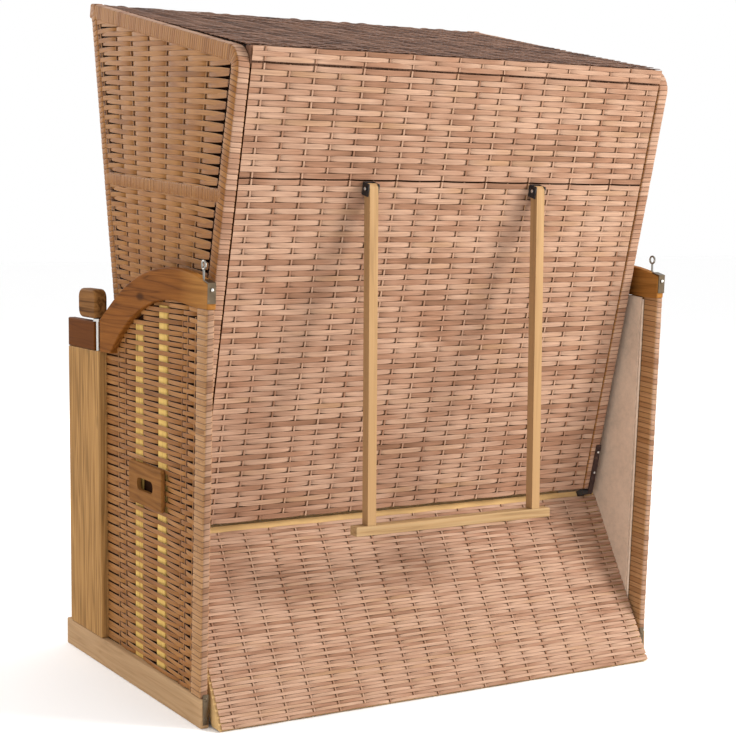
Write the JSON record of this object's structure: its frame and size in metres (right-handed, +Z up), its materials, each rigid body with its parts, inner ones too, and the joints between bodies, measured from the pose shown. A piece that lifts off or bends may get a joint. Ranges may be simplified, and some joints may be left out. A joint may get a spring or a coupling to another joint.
{
  "type": "hooded beach chair",
  "caption": "Hooded wicker beach chair whose hood tilts back on hinges between two base walls, with lift latches, a folding support frame and pull-out footrests.",
  "frame": {"origin": "middle of the footprint's box, on the floor", "axes": "+Z up, -Y out of the open front, +X to the left of a person who sits in the chair"},
  "size_m": [1.215, 0.9154, 1.5858],
  "materials": {
    "wood": "honey-coloured hardwood, satin oiled, darker along worn edges",
    "pale_wood": "pale planed softwood, thin clear stain",
    "wicker": "flat rattan-like strands, rosy tan, slightly glossy",
    "roof_wicker": "flat rattan-like strands, weathered dark brown",
    "lining": "taupe cloth-covered board, matt",
    "cushion": "sand-coloured woven outdoor cloth with piping",
    "steel": "zinc-plated, dull, with worn edges",
    "black_iron": "black lacquer, satin"
  },
  "bodies": {
    "base": {"left_side_rail": "pale_wood", "right_side_rail": "pale_wood", "left_front_board": "wood", "right_front_board": "wood", "left_arm_cap": "wood", "right_arm_cap": "wood", "left_armrest": "wood", "right_armrest": "wood", "left_rear_post": "wicker", "right_rear_post": "wicker", "left_side_weave": "wicker", "right_side_weave": "wicker", "left_side_lining": "lining", "right_side_lining": "lining", "left_carry_plate": "wood", "right_carry_plate": "wood", "left_corner_bracket": "steel", "right_corner_bracket": "steel", "left_eye_screw": "steel", "right_eye_screw": "steel", "left_hinge_bracket": "black_iron", "right_hinge_bracket": "black_iron", "rear_panel_frame": "pale_wood", "rear_panel_weave": "wicker", "front_floor_board": "pale_wood", "seat_frame": "pale_wood", "seat_board": "pale_wood", "seat_cushion": "cushion"},
    "hood": {"left_hood_side_frame": "wicker", "right_hood_side_frame": "wicker", "left_hood_side_weave": "wicker", "right_hood_side_weave": "wicker", "left_hood_lining": "lining", "right_hood_lining": "lining", "left_hinge_strap": "black_iron", "right_hinge_strap": "black_iron", "left_notched_arc": "steel", "right_notched_arc": "steel", "left_prop_bracket": "black_iron", "right_prop_bracket": "black_iron", "hood_lower_back_weave": "wicker", "hood_upper_back_weave": "wicker", "hood_back_board": "lining", "roof_frame": "wicker", "roof_weave": "roof_wicker", "roof_lining": "lining", "back_cushion": "cushion"},
    "prop": {"left_prop_leg": "wood", "right_prop_leg": "wood", "prop_crossbar": "wood"},
    "left_latch": {"left_latch_grip": "wood", "left_latch_rod": "steel"},
    "left_footrest": {"left_footrest_front": "wood", "left_footrest_frame": "pale_wood", "left_footrest_pad": "cushion"},
    "right_latch": {"right_latch_grip": "wood", "right_latch_rod": "steel"},
    "right_footrest": {"right_footrest_front": "wood", "right_footrest_frame": "pale_wood", "right_footrest_pad": "cushion"}
  },
  "joints": [
    {"name": "hood_recline", "type": "hinge", "parent": "base", "child": "hood", "pos_m": [0, 0.18473, 0.39139], "axis": [-1, 0, 0], "range_deg": [0, 46.4]},
    {"name": "prop_swing", "type": "hinge", "parent": "hood", "child": "prop", "pos_m": [0, 0.40004, 1.1388], "axis": [1, 0, 0], "range_deg": [-13.5, 46.4]},
    {"name": "left_latch_lift", "type": "slide", "parent": "base", "child": "left_latch", "axis": [0, 0, 1], "range_m": [0, 0.025]},
    {"name": "right_latch_lift", "type": "slide", "parent": "base", "child": "right_latch", "axis": [0, 0, 1], "range_m": [0, 0.025]},
    {"name": "left_footrest_slide", "type": "slide", "parent": "base", "child": "left_footrest", "axis": [0, -1, 0], "range_m": [0, 0.35]},
    {"name": "right_footrest_slide", "type": "slide", "parent": "base", "child": "right_footrest", "axis": [0, -1, 0], "range_m": [0, 0.35]}
  ]
}
